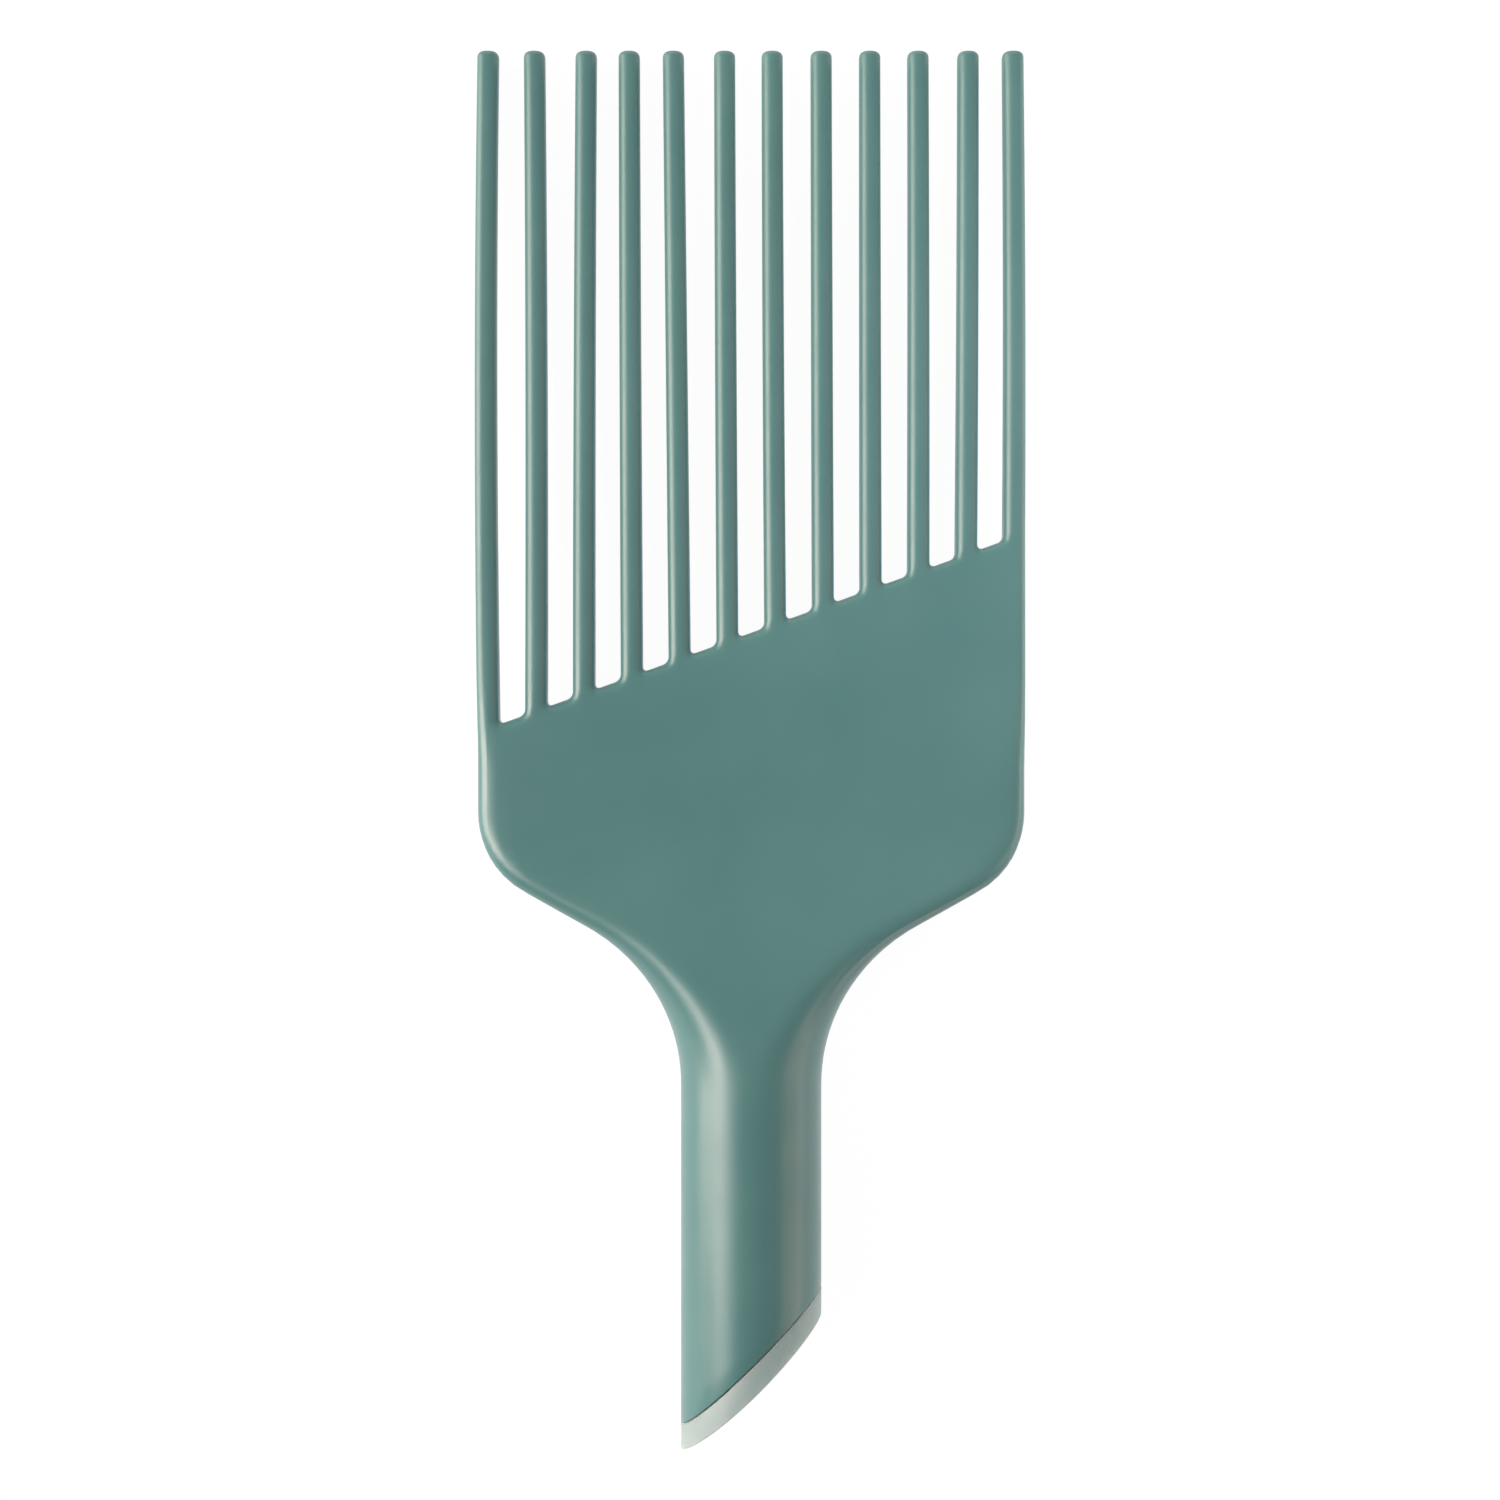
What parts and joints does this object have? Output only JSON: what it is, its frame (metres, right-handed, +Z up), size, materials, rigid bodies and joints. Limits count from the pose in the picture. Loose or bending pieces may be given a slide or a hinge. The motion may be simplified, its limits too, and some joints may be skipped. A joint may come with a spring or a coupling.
{
  "type": "afro pick",
  "caption": "Flat wide-tooth afro pick: long straight tines on a slanted root line, paddle, S-curved neck, and a hollow round grip closed by a slanted cap.",
  "frame": {"origin": "middle of the bounding box, on the table that the pick lies on", "axes": "+Y along the pick from the grip to the tine tips, +Z up off the table through its front, +X to the right of someone who looks down at the front with the tines pointing away"},
  "size_m": [0.09, 0.2288, 0.0258],
  "materials": {
    "teal_plastic": "satin",
    "frosted_plastic": "frosted"
  },
  "bodies": {
    "root": {"comb_moulding": "teal_plastic", "end_cap": "frosted_plastic"}
  },
  "joints": []
}
